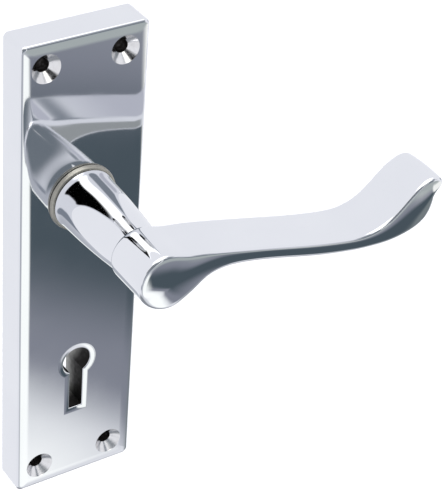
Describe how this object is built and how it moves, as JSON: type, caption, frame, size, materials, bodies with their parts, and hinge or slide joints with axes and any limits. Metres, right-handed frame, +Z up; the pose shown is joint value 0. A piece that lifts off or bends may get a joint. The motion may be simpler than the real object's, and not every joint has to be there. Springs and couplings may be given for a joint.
{
  "type": "lever handle on lock backplate",
  "caption": "Polished chrome scroll lever on a long rectangular backplate with a lock keyhole, countersunk fixing holes and a spring-return mechanism behind.",
  "frame": {"origin": "centre of the backplate's flat back face, on the cross rib, where it meets the door", "axes": "+Y into the door, -Y out towards the person using it, +X along the grip, +Z up the plate"},
  "size_m": [0.1097, 0.0543, 0.15],
  "materials": {
    "polished_chrome": "mirror polished chrome plate over a zinc casting",
    "lever_chrome": "mirror polished chrome plate over a zinc casting",
    "satin_nickel": "turned, satin plated ring",
    "zinc_steel": "zinc plated pressed steel",
    "screw_steel": "zinc plated",
    "spring_steel": "oiled spring steel",
    "nylon": "natural nylon"
  },
  "bodies": {
    "plate": {"backplate": "polished_chrome", "neck_collar": "satin_nickel", "front_bush": "nylon", "rear_bush": "nylon", "spring_case": "zinc_steel", "rest_stop_pin": "zinc_steel", "travel_stop_pin": "zinc_steel", "spring_anchor_pin": "zinc_steel", "case_screw_1": "screw_steel", "case_screw_2": "screw_steel", "case_screw_3": "screw_steel", "case_screw_4": "screw_steel", "return_spring": "spring_steel"},
    "lever": {"lever_handle": "lever_chrome", "drive_cam": "zinc_steel", "wave_washer": "spring_steel", "circlip": "spring_steel"}
  },
  "joints": [
    {"name": "lever_turn", "type": "hinge", "parent": "plate", "child": "lever", "pos_m": [0, 0, 0.0248], "axis": [0, 1, 0], "range_deg": [0, 50], "stiffness_Nm_per_rad": 0.6, "springref_deg": -34.38, "deforming": ["return_spring"]}
  ]
}
